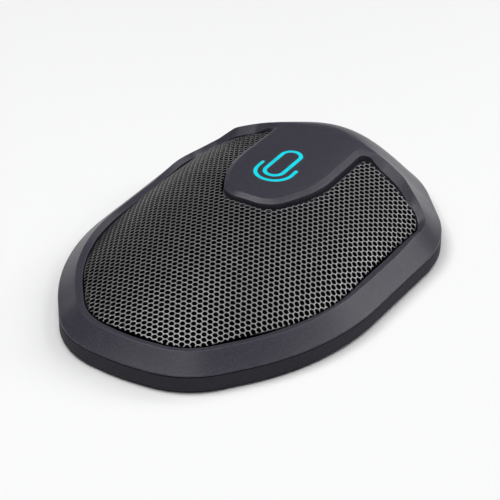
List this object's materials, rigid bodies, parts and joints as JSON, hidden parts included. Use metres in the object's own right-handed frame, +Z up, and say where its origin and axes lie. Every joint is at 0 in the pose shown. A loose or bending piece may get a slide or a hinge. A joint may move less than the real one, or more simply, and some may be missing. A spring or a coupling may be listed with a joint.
{
  "type": "usb conference microphone",
  "caption": "Low oval desk microphone: bevelled dark body, crowned perforated grille round a raised touch tongue with a lit microphone symbol, rubber feet, USB socket at the back.",
  "frame": {"origin": "on the surface that the feet stand on, under the centre of the body's outline", "axes": "+Z up; +Y from the low nose to the high end with the touch tongue and the socket; +X to the right when looking along +Y"},
  "size_m": [0.0904, 0.1338, 0.0252],
  "materials": {
    "cover_plastic": "fine satin texture, dark anthracite",
    "tray_plastic": "fine satin texture, dark anthracite",
    "grille_metal": "perforated sheet, satin grey-black paint",
    "cloth": "thin woven acoustic cloth, black",
    "symbol": "translucent, lit from below in cyan",
    "circuit_board": "green solder mask",
    "lamp": "clear resin",
    "screw_steel": "dark zinc plate",
    "connector_plastic": "moulded nylon, cream",
    "ribbon": "polyester film",
    "chip_plastic": "moulded, black",
    "plated_metal": "nickel plate",
    "rubber": "matt moulded rubber",
    "lead_insulation": "smooth insulation, black",
    "ballast_steel": "zinc plated sheet"
  },
  "bodies": {
    "root": {"acoustic_cloth": "cloth", "ballast_plate": "ballast_steel", "ballast_screw_1": "screw_steel", "ballast_screw_2": "screw_steel", "base_screw_1": "screw_steel", "base_screw_2": "screw_steel", "base_screw_3": "screw_steel", "base_screw_4": "screw_steel", "bottom_cover": "tray_plastic", "capacitor_1": "plated_metal", "capacitor_2": "plated_metal", "codec_chip": "chip_plastic", "crystal": "plated_metal", "foot_1": "rubber", "foot_2": "rubber", "foot_3": "rubber", "foot_4": "rubber", "grille": "grille_metal", "icon_cradle": "symbol", "icon_ring": "symbol", "led_1": "lamp", "led_2": "lamp", "led_3": "lamp", "led_4": "lamp", "main_board": "circuit_board", "main_board_connector": "connector_plastic", "main_board_screw_1": "screw_steel", "main_board_screw_2": "screw_steel", "main_board_screw_3": "screw_steel", "main_board_screw_4": "screw_steel", "mic_boot_left": "rubber", "mic_boot_right": "rubber", "mic_capsule_left": "plated_metal", "mic_capsule_right": "plated_metal", "mic_header_left": "connector_plastic", "mic_header_right": "connector_plastic", "mic_lead_left": "lead_insulation", "mic_lead_right": "lead_insulation", "ribbon_cable": "ribbon", "top_cover": "cover_plastic", "touch_board": "circuit_board", "touch_board_connector": "connector_plastic", "touch_board_screw_1": "screw_steel", "touch_board_screw_2": "screw_steel", "touch_board_screw_3": "screw_steel", "touch_board_screw_4": "screw_steel", "usb_socket_shell": "plated_metal", "usb_socket_tongue": "chip_plastic"}
  },
  "joints": []
}
